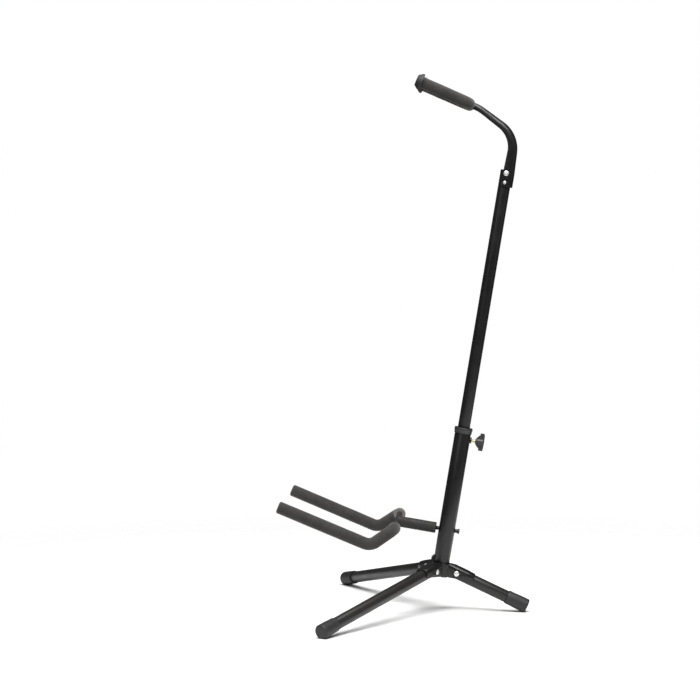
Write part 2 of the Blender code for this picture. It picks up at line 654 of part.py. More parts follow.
def main():
    clear_scene()
    mast = empty("mast_frame", None, (0, HUB_SETBACK, HUB_HEIGHT), (-LEAN, 0, 0))
    floor = solid("cut_floor", box((-0.5, -0.5, -0.05), (0.5, 0.5, 0.0)))
    build_hub(mast)
    build_hub_screw(mast)
    for side, degrees in LEG_TURNS.items():
        build_leg(mast, side, degrees, floor)
    build_lower_mast(mast)
    build_clamp(mast)
    build_upper_mast(mast)
    neck = empty("pivot_neck", mast, (0, 0, NECK_PIVOT))
    build_neck_arm(neck)
    build_neck_yoke(neck)
    build_cradle(mast)


main()
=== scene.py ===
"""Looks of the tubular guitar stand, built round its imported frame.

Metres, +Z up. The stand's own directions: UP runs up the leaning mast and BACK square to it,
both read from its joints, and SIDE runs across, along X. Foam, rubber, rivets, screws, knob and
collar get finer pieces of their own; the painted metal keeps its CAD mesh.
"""

import json
import math

import bmesh
import bpy
from mathutils import Matrix, Vector, noise


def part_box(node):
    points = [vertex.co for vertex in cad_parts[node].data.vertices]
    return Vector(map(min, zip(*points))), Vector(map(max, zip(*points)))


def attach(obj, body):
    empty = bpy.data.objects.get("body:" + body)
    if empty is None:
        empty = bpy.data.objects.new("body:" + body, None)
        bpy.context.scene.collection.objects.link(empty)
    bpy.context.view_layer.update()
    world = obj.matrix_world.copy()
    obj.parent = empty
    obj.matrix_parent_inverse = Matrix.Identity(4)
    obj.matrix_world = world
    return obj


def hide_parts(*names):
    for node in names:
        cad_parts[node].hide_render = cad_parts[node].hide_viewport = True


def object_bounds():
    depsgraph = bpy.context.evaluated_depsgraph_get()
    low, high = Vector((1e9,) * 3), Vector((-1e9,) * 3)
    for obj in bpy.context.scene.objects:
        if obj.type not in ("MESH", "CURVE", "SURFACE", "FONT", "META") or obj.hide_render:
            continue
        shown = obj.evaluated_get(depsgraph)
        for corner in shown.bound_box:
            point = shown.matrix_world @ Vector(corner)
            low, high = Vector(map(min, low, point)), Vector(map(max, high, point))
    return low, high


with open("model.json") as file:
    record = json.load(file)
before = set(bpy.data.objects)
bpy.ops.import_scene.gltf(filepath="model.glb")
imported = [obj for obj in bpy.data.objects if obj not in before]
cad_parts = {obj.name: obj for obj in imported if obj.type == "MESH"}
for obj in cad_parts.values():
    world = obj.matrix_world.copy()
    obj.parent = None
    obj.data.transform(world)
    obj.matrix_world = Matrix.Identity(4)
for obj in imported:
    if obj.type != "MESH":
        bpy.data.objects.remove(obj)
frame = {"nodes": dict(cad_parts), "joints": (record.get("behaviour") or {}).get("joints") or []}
CAD_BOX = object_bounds()

JOINTS = {joint["name"]: joint for joint in frame["joints"]}
UP = Vector(JOINTS["mast_height"]["axis"]).normalized()
BACK = Vector(JOINTS["cradle_swivel"]["axis"]).normalized()
SIDE = Vector((1.0, 0.0, 0.0))
NECK = Vector(JOINTS["neck_fold"]["pos_m"])
CRADLE = Vector(JOINTS["cradle_swivel"]["pos_m"])

# Sizes that the finer pieces share with the frame, in metres
GAP = 0.0003
DROOP = math.radians(15.85)      # legs, down from square to the mast
LEG_R, LOWER_R, UPPER_R, ROD_R = 0.0095, 0.0127, 0.009525, 0.0040
PRESSED = 0.0016                 # thickness of the pressed steel
CAP_R, CAP_LENGTH, CAP_END = 0.0113, 0.0355, 0.0050
CRADLE_FOAM_R, NECK_FOAM_R = 0.00965, 0.0091
CROSSBAR_OUT = 0.0792
SHOULDER = (0.1050, -CROSSBAR_OUT, 0.0)
BEND = (0.1150, -0.1105, -0.0295)
TIP = (0.1188, -0.2542, 0.0044)
FOAM_TIP, FOAM_START = 0.0050, 0.0880
YOKE_BAR = (0.0, -0.0740, 0.0966)
YOKE_HALF, YOKE_TIP_HALF, YOKE_LENGTH, YOKE_BEND = 0.0350, 0.0430, 0.0835, 0.0140
YOKE_RISE = math.radians(14.4)
YOKE_START = 0.0080
FLANGE_R, FLANGE, DOME_R, DOME = 0.0130, 0.0045, 0.0085, 0.0050
COLLAR_R, COLLAR_TOP, COLLAR_SKIRT, COLLAR_LENGTH = 0.0142, 0.0045, 0.0045, 0.0290
PLUG_CLEARANCE = 0.0015

# Shading and mesh detail
SHARP = math.radians(38)         # edges that turn more than this are shaded sharp
ROLLED = 0.0009                  # radius of a rubber cap's rolled lip
SLEEVE_SIDES, PATH_STEP = 48, 0.0016

# Foam sleeves: rounding of the cut and the far end, lumps of the skin, creases of a bend
CUT_EDGE, FAR_EDGE = 0.0010, 0.0022
CRADLE_BENDS = (0.0150, 0.0180)
STRAIGHT = 0.02                  # a path that turns less than this at a point is straight there
LUMP_SCALE, LUMP = 55.0, 0.00016
FINE_SCALE, FINE = 420.0, 0.00006
CREASE_SPREAD, CREASE_EVERY, CREASE = 0.012, 0.0026, 0.00022
SKIN_INSET = 0.0002
DISH_RINGS = ((0.75, 0.0001), (0.45, -0.0001), (0.18, -0.0003))
DISH_MIDDLE = -0.00035

# Rivets: radius of the head, height of its dome, radius of the shank
NECK_RIVET = (0.0042, 0.0020, 0.0025)
STOP_PIN = (0.0026, 0.0014, 0.0020)
LEG_RIVET = (0.0042, 0.0018, 0.0025)
RIM_SHARE = 0.15                 # share of the dome's height that is its upright rim

# Hub screw: its shank and pan head, and the dish sunk into the head
SHANK_R, PAN_R, PAN, PAN_RIM, PAN_ROUND = 0.0020, 0.0036, 0.0016, 0.0006, 0.0014
SCREW_DISH = 0.0008

# Clamp screw: its thread, in metres, and the mesh's rings in one pitch
THREAD_R, THREAD_DEPTH, PITCH = 0.0025, 0.00040, 0.0008
THREAD_SIDES, RINGS_A_PITCH = 32, 8
LEAD_IN, RUN_OUT, POINT = 0.0008, 0.0004, 0.0003

# What each painted node is finished with, and how far its edges are rounded
FINISHES = {"hub": "mast_paint", "lower_tube": "mast_paint", "screw_boss": "mast_paint",
            "upper_tube": "mast_paint", "neck_arm": "mast_paint", "neck_yoke": "mast_paint",
            "cradle_rod": "stem_paint", "cradle_stem": "stem_paint",
            "cradle_bolt": "mast_paint", "leg_right": "leg_paint", "leg_left": "leg_paint",
            "leg_rear": "leg_paint", "mast_glide": "plastic", "clamp_pad": "plastic"}
ROUNDING = {"hub": 0.0005, "neck_arm": 0.0004, "lower_tube": 0.0003, "upper_tube": 0.0003,
            "cradle_stem": 0.0003, "leg_right": 0.0003, "leg_left": 0.0003,
            "leg_rear": 0.0003, "screw_boss": 0.0003, "cradle_bolt": 0.0002}

# Colours of the fine detail in the materials: dust, painted shade in each foam pore, and scuffs
DUST, PORE_SHADE, SCUFF = (0.16, 0.155, 0.15), (0.012, 0.0115, 0.011), (0.14, 0.135, 0.125)

# The camera: where the photographer stood, and what they aimed at
VIEW_AZIMUTH, VIEW_PITCH, VIEW_DISTANCE = math.radians(93.76), math.radians(2.97), 3.7603
AIM = Vector((0.0, -0.0883, 0.4105))
LENS, SENSOR = 123.28, 36.0
WORLD_FILL = 0.08

# The floor shows whole to FLOOR_FADE from the middle, and is gone by FLOOR_EDGE
FLOOR_FADE, FLOOR_EDGE = 0.55, 1.30


# ---------------------------------------------------------------- node materials

class Nodes:
    """Short hand for wiring one material's node tree."""

    def __init__(self, name):
        self.material = bpy.data.materials.new(name)
        self.material.use_nodes = True
        self.tree = self.material.node_tree
        self.shader = self.tree.nodes["Principled BSDF"]
        self.place = self.add("ShaderNodeTexCoord").outputs["Object"]

    def add(self, kind, **settings):
        node = self.tree.nodes.new(kind)
        for key, value in settings.items():
            setattr(node, key, value)
        return node

    def link(self, source, target):
        self.tree.links.new(source, target)

    def noise(self, scale, detail=3.0, roughness=0.55, stretch=None):
        """Noise in the object's own space; stretch scales the space first."""
        node = self.add("ShaderNodeTexNoise")
        node.inputs["Scale"].default_value = scale
        node.inputs["Detail"].default_value = detail
        node.inputs["Roughness"].default_value = roughness
        self.link(self.stretched(stretch), node.inputs["Vector"])
        return node.outputs["Fac"]

    def cells(self, scale):
        """How far a point is from the middle of its cell."""
        node = self.add("ShaderNodeTexVoronoi", feature="F1")
        node.inputs["Scale"].default_value = scale
        self.link(self.place, node.inputs["Vector"])
        return node.outputs["Distance"]

    def stretched(self, stretch):
        if stretch is None:
            return self.place
        mapping = self.add("ShaderNodeMapping")
        mapping.inputs["Scale"].default_value = stretch
        self.link(self.place, mapping.inputs["Vector"])
        return mapping.outputs["Vector"]

    def ramp(self, value, stops):
        """Maps a value through (position, grey or colour) stops."""
        node = self.add("ShaderNodeValToRGB")
        elements = node.color_ramp.elements
        while len(elements) < len(stops):
            elements.new(0.5)
        for element, (position, colour) in zip(elements, stops):
            if isinstance(colour, (int, float)):
                colour = (colour, colour, colour)
            element.position = position
            element.color = (*colour, 1.0)
        self.link(value, node.inputs["Fac"])
        return node.outputs["Color"]

    def mix(self, factor, first, second):
        node = self.add("ShaderNodeMix", data_type="RGBA", blend_type="MIX")
        for socket, value in ((node.inputs[0], factor), (node.inputs[6], first),
                              (node.inputs[7], second)):
            if isinstance(value, bpy.types.NodeSocket):
                self.link(value, socket)
            elif isinstance(value, (int, float)):
                socket.default_value = value
            else:
                socket.default_value = (*value, 1.0)
        return node.outputs[2]

    def math(self, operation, first, second):
        node = self.add("ShaderNodeMath", operation=operation)
        for socket, value in zip(node.inputs, (first, second)):
            if isinstance(value, bpy.types.NodeSocket):
                self.link(value, socket)
            else:
                socket.default_value = value
        return node.outputs[0]

    def height(self):
        """The object's own Z, in metres above the floor at rest."""
        split = self.add("ShaderNodeSeparateXYZ")
        self.link(self.place, split.inputs["Vector"])
        return split.outputs["Z"]

    def bump(self, height, strength, depth, under=None):
        """One layer of bump, depth in metres, over an earlier layer."""
        node = self.add("ShaderNodeBump")
        node.inputs["Strength"].default_value = strength
        node.inputs["Distance"].default_value = depth
        self.link(height, node.inputs["Height"])
        if under is not None:
            self.link(under, node.inputs["Normal"])
        return node.outputs["Normal"]

    def finish(self, colour, roughness, normal, **constants):
        self.link(colour, self.shader.inputs["Base Color"])
        self.link(roughness, self.shader.inputs["Roughness"])
        self.link(normal, self.shader.inputs["Normal"])
        for name, value in constants.items():
            self.shader.inputs[name.replace("_", " ")].default_value = value
        return self.material


def paint(name, dark, light, gloss, coat=0.15):
    """Powder-coated or painted steel: fine orange peel, faint rub marks and dust."""
    n = Nodes(name)
    cloud = n.noise(9.0, 4.0)
    rub = n.ramp(n.noise(60.0, 6.0, 0.7), [(0.52, 0.0), (0.74, 1.0)])
    colour = n.mix(cloud, dark, light)
    dust = n.ramp(n.noise(420.0, 2.0), [(0.66, 0.0), (0.80, 1.0)])
    colour = n.mix(n.math("MULTIPLY", dust, 0.10), colour, DUST)
    rough = n.ramp(n.noise(35.0, 5.0, 0.6), [(0.30, gloss - 0.06), (0.72, gloss + 0.09)])
    rough = n.mix(n.math("MULTIPLY", rub, 0.5), rough, (gloss + 0.16,) * 3)
    peel = n.bump(n.noise(1500.0, 2.0, 0.5), 0.20, 0.00004)
    normal = n.bump(n.noise(260.0, 2.0, 0.5), 0.16, 0.00008, peel)
    return n.finish(colour, rough, normal, Coat_Weight=coat, Coat_Roughness=0.22,
                    Specular_IOR_Level=0.32)


def foam(name, dark, light):
    """Closed-cell foam rubber: matt skin with a fine pore grain, painted shade in each pore, and
    a soft mottle.
    """
    n = Nodes(name)
    colour = n.mix(n.ramp(n.noise(38.0, 5.0, 0.65), [(0.30, 0.0), (0.72, 1.0)]), dark, light)
    # Each pore's middle is darkened in colour: painted shade in the pore.
    pore_shade_mask = n.ramp(n.cells(1900.0), [(0.10, 0.40), (0.42, 1.0)])
    colour = n.mix(pore_shade_mask, PORE_SHADE, colour)
    rough = n.ramp(n.noise(120.0, 4.0), [(0.30, 0.84), (0.72, 0.97)])
    grain = n.bump(n.cells(1900.0), 0.22, 0.00014)
    skin = n.bump(n.noise(700.0, 4.0, 0.65), 0.28, 0.00020, grain)
    normal = n.bump(n.noise(70.0, 3.0, 0.5), 0.35, 0.00045, skin)
    return n.finish(colour, rough, normal, Sheen_Weight=0.22, Sheen_Roughness=0.55,
                    Specular_IOR_Level=0.30)


def rubber(name):
    """Moulded black rubber, dull, with scuffs where it meets the floor."""
    n = Nodes(name)
    colour = n.mix(n.noise(55.0, 5.0, 0.6), (0.0090, 0.0090, 0.0090), (0.0190, 0.0185, 0.0180))
    scuff = n.ramp(n.noise(300.0, 6.0, 0.75, (1.0, 1.0, 0.35)), [(0.50, 0.0), (0.66, 1.0)])
    low = n.ramp(n.height(), [(0.0, 1.0), (0.010, 0.0)])
    worn = n.math("MULTIPLY", scuff, low)
    colour = n.mix(n.math("MULTIPLY", worn, 0.55), colour, SCUFF)
    rough = n.ramp(n.noise(140.0, 4.0), [(0.30, 0.50), (0.72, 0.68)])
    grain = n.bump(n.noise(2200.0, 3.0, 0.6), 0.30, 0.00006)
    normal = n.bump(n.noise(180.0, 3.0, 0.5), 0.18, 0.00015, grain)
    return n.finish(colour, rough, normal, Specular_IOR_Level=0.42)


def plastic(name):
    """Injection-moulded black plastic with a fine spark-eroded grain."""
    n = Nodes(name)
    colour = n.mix(n.noise(40.0, 3.0), (0.014, 0.014, 0.0145), (0.026, 0.026, 0.026))
    rough = n.ramp(n.noise(90.0, 4.0), [(0.30, 0.38), (0.72, 0.52)])
    grain = n.bump(n.noise(2600.0, 2.0, 0.5), 0.35, 0.00005)
    return n.finish(colour, rough, grain, Specular_IOR_Level=0.5)


def steel(name, tint, low, high):
    """Plated steel: bright, with soft blotches and hair-fine scratches."""
    n = Nodes(name)
    dull = tuple(0.86 * channel for channel in tint)
    colour = n.mix(n.noise(300.0, 4.0, 0.6), dull, tint)
    rough = n.ramp(n.noise(500.0, 5.0, 0.6), [(0.30, low), (0.72, high)])
    scratches = n.bump(n.noise(2400.0, 3.0, 0.6, (1.0, 0.12, 1.0)), 0.12, 0.00002)
    return n.finish(colour, rough, scratches, Metallic=0.65)


def make_materials():
    return {
        "mast_paint": paint("mast_paint", (0.0040, 0.0040, 0.0043), (0.0075, 0.0073, 0.0072),
                            0.34),
        "leg_paint": paint("leg_paint", (0.0095, 0.0090, 0.0086), (0.0155, 0.0147, 0.0139),
                           0.38),
        "foam": foam("foam", (0.0165, 0.0152, 0.0143), (0.0330, 0.0306, 0.0288)),
        # A much lighter copy of the foam for the sleeves' cut ends: painted light, as if those
        # ends caught the front light.
        "lit_foam_cut": foam("lit_foam_cut", (0.130, 0.1220, 0.1150), (0.190, 0.1790, 0.1690)),
        "rubber": rubber("rubber"),
        "plastic": plastic("plastic"),
        "stem_paint": paint("stem_paint", (0.0150, 0.0142, 0.0138), (0.0230, 0.0220, 0.0210),
                            0.66, 0.0),
        "zinc": steel("zinc", (0.74, 0.735, 0.72), 0.28, 0.40),
        "yellow_zinc": steel("yellow_zinc", (0.80, 0.74, 0.55), 0.24, 0.38),
    }


# ---------------------------------------------------------------- mesh tools

def local(origin, side, back, up):
    """A point given along the stand's own directions, from an origin."""
    return origin + SIDE * side + BACK * back + UP * up


def reach_along(name, origin, direction):
    """How far each vertex of a node lies along a direction from an origin."""
    return [(vert.co - origin).dot(direction)
            for vert in frame["nodes"][name].data.vertices]


def new_piece(name, bm, material, body, slot, *replaced, cut=None):
    """Turns a bmesh into a smooth-shaded piece that rides on a body."""
    bmesh.ops.recalc_face_normals(bm, faces=bm.faces)
    mesh = bpy.data.meshes.new(name)
    bm.to_mesh(mesh)
    bm.free()
    mesh.materials.append(material)
    # cut is the second material, the lighter foam copy that paints light on a sleeve's cut ends.
    if cut is not None:
        mesh.materials.append(cut)
    mesh.shade_smooth()
    mesh.set_sharp_from_angle(angle=SHARP)
    obj = bpy.data.objects.new(name, mesh)
    bpy.context.scene.collection.objects.link(obj)
    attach(obj, body)
    if replaced:
        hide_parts(*replaced)
    return obj


def basis(origin, along):
    """A frame whose Z points along a direction, at an origin."""
    turn = along.normalized().to_track_quat("Z", "X").to_matrix().to_4x4()
    return Matrix.Translation(origin) @ turn


def lathe(profile, sides, closed=True):
    """Turns (radius, height) points about Z; a point on the axis is one vertex."""
    bm = bmesh.new()
    rings = []
    for radius, height in profile:
        count = sides if radius else 1
        angles = [math.tau * k / count for k in range(count)]
        rings.append([bm.verts.new((radius * math.cos(a), radius * math.sin(a), height))
                      for a in angles])
    if closed:
        rings.append(rings[0])
    for first, second in zip(rings, rings[1:]):
        if len(first) == len(second) == sides:
            bridge(bm, [first, second])
        elif len(first) != len(second):
            ring, (tip,) = (first, second) if len(first) == sides else (second, first)
            for k, vert in enumerate(ring):
                bm.faces.new((vert, ring[(k + 1) % sides], tip))
    return bm


def arc(centre, radius, start, end, steps):
    """Points of a circular arc, between two angles in degrees."""
    angles = [math.radians(start + (end - start) * i / steps) for i in range(steps + 1)]
    return [(centre[0] + radius * math.cos(a), centre[1] + radius * math.sin(a)) for a in angles]


def rounded_path(corners, radii, step):
    """Straight runs with bent corners, as evenly spaced points."""
    points = [corners[0]]
    for before, corner, after, radius in zip(corners, corners[1:], corners[2:], radii):
        into = (corner - before).normalized()
        out = (after - corner).normalized()
        turn = into.angle(out)
        inward = (out - into).normalized()
        centre = corner + inward * (radius / math.cos(turn / 2))
        spoke = corner - into * (radius * math.tan(turn / 2)) - centre
        count = max(3, math.ceil(turn * radius / step))
        for i in range(count + 1):
            points.append(centre + Matrix.Rotation(turn * i / count, 3, into.cross(out)) @ spoke)
    points.append(corners[-1])
    return refined(points, step)


def refined(points, step):
    """The same path with a point at least every step."""
    fine = [points[0]]
    for before, after in zip(points, points[1:]):
        count = max(1, math.ceil((after - before).length / step))
        fine += [before.lerp(after, i / count) for i in range(1, count + 1)]
    return fine


def skin(bm, points, radius_at, sides):
    """Rings of vertices square to a path; radius_at(run, out, point) shapes them."""
    rings, side, run = [], None, 0.0
    for i, point in enumerate(points):
        if i:
            run += (point - points[i - 1]).length
        along = (points[min(i + 1, len(points) - 1)] - points[max(i - 1, 0)]).normalized()
        side = along.orthogonal() if side is None else side - along * side.dot(along)
        side.normalize()
        other = along.cross(side)
        ring = []
        for k in range(sides):
            angle = math.tau * k / sides
            out = side * math.cos(angle) + other * math.sin(angle)
            ring.append(bm.verts.new(point + out * radius_at(run, out, point)))
        rings.append(ring)
    return rings


def bridge(bm, rings, material=0):
    """Joins rings, one to the next, with four-sided faces."""
    for first, second in zip(rings, rings[1:]):
        count = len(first)
        for k in range(count):
            nxt = (k + 1) % count
            face = bm.faces.new((first[k], first[nxt], second[nxt], second[k]))
            face.material_index = material


# ---------------------------------------------------------------- foam sleeves

def bulge(run, length):
    """Radius lost near a sleeve's ends: a small knife-cut edge, and a rounder far end."""
    near, edge = (run, CUT_EDGE) if run < length / 2 else (length - run, FAR_EDGE)
    if near >= edge:
        return 0.0
    t = 1.0 - near / edge
    return edge * (1.0 - math.sqrt(max(0.0, 1.0 - t * t)))


def bend_points(points):
    """The points at which a path turns."""
    return [point for before, point, after in zip(points[1:], points[2:-2], points[3:])
            if (after - point).angle(point - before) > STRAIGHT]


def foam_skin(points, outer):
    """The radius of a sleeve's skin along a path: lumpy, and creased inside its bends."""
    length = sum((b - a).length for a, b in zip(points, points[1:]))
    bends = bend_points(points)
    centre = sum(bends, Vector()) / max(1, len(bends))

    def crease_at(run, out, point):
        nearest = min((point - bend).length for bend in bends)
        near_bend = math.exp(-((nearest / CREASE_SPREAD) ** 2))
        inner = max(0.0, out.dot((centre - point).normalized())) if near_bend > 0.05 else 0.0
        return CREASE * near_bend * inner * math.sin(run / CREASE_EVERY * math.tau / 2.0)

    def radius_at(run, out, point):
        lump = noise.noise(point * LUMP_SCALE + out * 0.6) * LUMP
        fine = noise.noise((point + out * outer) * FINE_SCALE) * FINE
        return (outer - bulge(run, length) + lump + fine + crease_at(run, out, point)
                - SKIN_INSET)

    return radius_at


def sleeve(name, body, points, outer, node, materials, closed_end=0.0):
    """A foam sleeve on a rod; closed_end is the thickness of foam past the rod's tip."""
    bm = bmesh.new()
    shell = skin(bm, points, foam_skin(points, outer), SLEEVE_SIDES)
    inner_points = points
    if closed_end:
        inner_points = [p for p in points if (p - points[-1]).length > closed_end]
    hole = skin(bm, inner_points, lambda run, out, point: ROD_R + GAP, SLEEVE_SIDES)
    # Faces of material 1, the sleeve's open ends and the first ring of its rounded start edge,
    # take the lighter foam copy: painted light on the ends.
    bridge(bm, shell[:2], 1)
    bridge(bm, shell[1:])
    bridge(bm, hole)
    bridge(bm, [shell[0], hole[0]], 1)
    if closed_end:
        cap_end(bm, shell[-1], (points[-1] - points[-2]).normalized())
        bm.faces.new(hole[-1])
    else:
        bridge(bm, [shell[-1], hole[-1]], 1)
    piece = new_piece(name, bm, materials["foam"], body, "black_foam", node,
                      cut=materials["lit_foam_cut"])


def cap_end(bm, ring, out):
    """Closes a sleeve's end with a slightly dished, knife-cut face."""
    middle = sum((vert.co for vert in ring), Vector()) / len(ring)
    previous = ring
    for share, dish in DISH_RINGS:
        current = [bm.verts.new(middle + (vert.co - middle) * share + out * dish)
                   for vert in ring]
        bridge(bm, [previous, current])
        previous = current
    hub = bm.verts.new(middle + out * DISH_MIDDLE)
    for k, vert in enumerate(previous):
        bm.faces.new((vert, previous[(k + 1) % len(previous)], hub))


def build_cradle_foam(materials):
    """One sleeve on each side: it starts at the shoulder and covers the rod's tip."""
    for side, sign in (("right", 1), ("left", -1)):
        def at(point):
            return local(CRADLE, sign * point[0], point[1], point[2])
        shoulder, bend, tip = at(SHOULDER), at(BEND), at(TIP)
        out = (tip - bend).normalized()
        start = at((FOAM_START, -CROSSBAR_OUT, 0.0))
        corners = [start, shoulder, bend, tip + out * (FOAM_TIP + GAP)]
        points = rounded_path(corners, CRADLE_BENDS, PATH_STEP)
        sleeve(f"cradle_pad_{side}", "cradle", points, CRADLE_FOAM_R, f"cradle_foam_{side}",
               materials, FOAM_TIP)


def yoke_corner_and_tip(sign):
    """Where one prong of the yoke turns forwards, and where it ends."""
    corner = local(NECK, sign * YOKE_HALF, YOKE_BAR[1], YOKE_BAR[2])
    reach = (-math.cos(YOKE_RISE) * YOKE_LENGTH, math.sin(YOKE_RISE) * YOKE_LENGTH)
    tip = local(NECK, sign * YOKE_TIP_HALF, YOKE_BAR[1] + reach[0], YOKE_BAR[2] + reach[1])
    return corner, tip


def build_neck_foam(materials):
    """One sleeve on each prong, from beside the arm to the end cap's flange."""
    for side, sign in (("right", 1), ("left", -1)):
        corner, tip = yoke_corner_and_tip(sign)
        along = (tip - corner).normalized()
        start = local(NECK, sign * YOKE_START, YOKE_BAR[1], YOKE_BAR[2])
        corners = [start, corner, tip - along * (FLANGE + GAP)]
        points = rounded_path(corners, [YOKE_BEND], PATH_STEP)
        sleeve(f"neck_pad_{side}", "neck", points, NECK_FOAM_R, f"neck_foam_{side}",
               materials)


# ---------------------------------------------------------------- rubber

def build_neck_caps(materials):
    """Flanged rubber stoppers: a wide lip against the foam and a tapered plug end."""
    bore = ROD_R + GAP
    nose = 0.0018
    end = FLANGE + DOME
    profile = [(bore, 0.0), (FLANGE_R - ROLLED, 0.0),
               *arc((FLANGE_R - ROLLED, ROLLED), ROLLED, -90, 0, 5)[1:],
               (FLANGE_R, 0.0026), (FLANGE_R - 0.0004, 0.0034),
               (DOME_R + 0.0013, FLANGE + 0.0028),
               *arc((DOME_R - 0.0010, end - nose), nose, 20, 90, 6),
               (0.0, end + 0.0001), (0.0, FLANGE + GAP), (bore, FLANGE + GAP)]
    for side, sign in (("right", 1), ("left", -1)):
        corner, tip = yoke_corner_and_tip(sign)
        along = (tip - corner).normalized()
        bm = lathe(profile, 72)
        bmesh.ops.transform(bm, verts=bm.verts, matrix=basis(tip - along * FLANGE, along))
        new_piece(f"neck_stopper_{side}", bm, materials["rubber"], "neck", "black_rubber",
                  f"neck_cap_{side}")


def leg_axes(side):
    """A leg's pivot, the way it points, and the length from pivot to cap end."""
    joint = JOINTS[f"leg_{side}_fold"]
    pivot = Vector(joint["pos_m"])
    radial = Vector(joint["axis"]).normalized().cross(UP)
    along = radial * math.cos(DROOP) - UP * math.sin(DROOP)
    tube_end = max(reach_along(f"leg_{side}", pivot, along))
    return pivot, along, tube_end + CAP_END + GAP


def foot_profile(reach):
    """A push-on cap, turned: a thin lip, a slim neck, a fuller end and a rounded sole."""
    bore = LEG_R + GAP
    start = reach - CAP_LENGTH
    mouth = CAP_R - 0.0006
    sole = 0.0030
    return [(bore, start), (mouth, start),
            *arc((mouth - ROLLED, start + ROLLED), ROLLED, -90, 0, 4)[1:],
            (CAP_R - 0.0004, start + 0.0030), (CAP_R - 0.0005, start + 0.0100),
            (CAP_R - 0.0001, start + 0.0150), (CAP_R, start + 0.0200),
            (CAP_R, reach - 2 * sole), (CAP_R, reach - sole - 0.0001),
            *arc((CAP_R - sole, reach - sole), sole, 5, 90, 8),
            (0.0040, reach), (0.0, reach), (0.0, reach - CAP_END), (bore, reach - CAP_END)]


def build_feet(materials):
    """Rubber caps of the legs, worn flat where they stand on the floor."""
    for side in ("right", "left", "rear"):
        pivot, along, reach = leg_axes(side)
        bm = lathe(foot_profile(reach), 84)
        bmesh.ops.transform(bm, verts=bm.verts, matrix=basis(pivot, along))
        for vert in bm.verts:
            vert.co.z = max(vert.co.z, 0.0)
        new_piece(f"foot_cap_{side}", bm, materials["rubber"], f"leg_{side}", "black_rubber",
                  f"foot_{side}")


# ---------------------------------------------------------------- fasteners

def rivet(name, body, node, centre, axis, size, half_grip, material):
    """A turned rivet with a low dome, a rolled rim and a dimple, headed at both ends."""
    head, dome, shank = size
    base = half_grip + GAP
    crown = [(head * math.cos(t), base + dome * (RIM_SHARE + (1.0 - RIM_SHARE) * math.sin(t)))
             for t in (math.radians(10 * step) for step in range(8))]
    dimple = [(head * 0.20, base + dome * 0.96), (head * 0.13, base + dome * 0.86),
              (0.0, base + dome * 0.82)]
    top = [(shank, base), (head - 0.0002, base), *crown, *dimple]
    profile = [(r, -z) for r, z in reversed(top)] + top
    bm = lathe(profile, 48, closed=False)
    bmesh.ops.transform(bm, verts=bm.verts, matrix=basis(centre, axis))
    new_piece(name, bm, material, body, "bright_steel", node)


def build_rivets(materials):
    """The neck arm's rivet and stop pin, and the rivet of each leg."""
    zinc = materials["zinc"]
    fork = UPPER_R + GAP + PRESSED
    rivet("neck_pivot_rivet", "mast_top", "neck_rivet", NECK, SIDE, NECK_RIVET, fork, zinc)
    low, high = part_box("neck_stop_pin")
    rivet("neck_rest_pin", "mast_top", "neck_stop_pin", (low + high) / 2, SIDE, STOP_PIN, fork,
          zinc)
    cheek = LEG_R + GAP + PRESSED
    for side in ("right", "left", "rear"):
        joint = JOINTS[f"leg_{side}_fold"]
        rivet(f"leg_pivot_{side}", "base", f"leg_rivet_{side}", Vector(joint["pos_m"]),
              Vector(joint["axis"]), LEG_RIVET, cheek, zinc)


def build_hub_screw(materials):
    """Pan-head screw with a dished recess."""
    low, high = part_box("hub_screw")
    centre = (low + high) / 2
    reach = reach_along("hub_screw", centre, -BACK)
    tip, top = min(reach), max(reach)
    seat = top - PAN
    profile = [(0.0, tip), (SHANK_R - 0.0004, tip), (SHANK_R, tip + 0.0005), (SHANK_R, seat),
               (PAN_R, seat), (PAN_R, seat + PAN_RIM),
               *arc((PAN_R - PAN_ROUND, seat + 0.0004), PAN_ROUND, 10, 80, 5),
               (0.0, top - SCREW_DISH)]
    bm = lathe(profile, 40, closed=False)
    bmesh.ops.transform(bm, verts=bm.verts, matrix=basis(centre, -BACK))
    new_piece("hub_fixing_screw", bm, materials["mast_paint"], "base", "black_paint",
              "hub_screw")


def thread_radius(height, turn, start, end):
    """The thread's radius at a height and a share of a turn, thinner at both ends."""
    groove = abs(2.0 * ((height / PITCH - turn) % 1.0) - 1.0)
    taper = min(1.0, (height - start) / LEAD_IN, (end - height) / RUN_OUT)
    return THREAD_R - THREAD_DEPTH * groove - POINT * (1.0 - max(0.0, taper))


def build_clamp_screw(materials):
    """The clamp's screw with its real 0.8 mm thread."""
    origin = Vector(JOINTS["clamp_turn"]["pos_m"])
    reach = reach_along("clamp_screw", origin, BACK)
    start, end = min(reach), max(reach)
    steps = round((end - start) / PITCH * RINGS_A_PITCH)
    bm = bmesh.new()
    rings = []
    for i in range(steps + 1):
        height = start + (end - start) * i / steps
        ring = []
        for k in range(THREAD_SIDES):
            angle = math.tau * k / THREAD_SIDES
            r = thread_radius(height, k / THREAD_SIDES, start, end)
            ring.append(bm.verts.new((r * math.cos(angle), r * math.sin(angle), height)))
        rings.append(ring)
    bridge(bm, rings)
    bm.faces.new(rings[0])
    bm.faces.new(rings[-1])
    bmesh.ops.transform(bm, verts=bm.verts, matrix=basis(origin, BACK))
    new_piece("clamp_thread", bm, materials["yellow_zinc"], "clamp", "bright_steel",
              "clamp_screw")


# ---------------------------------------------------------------- moulded plastic

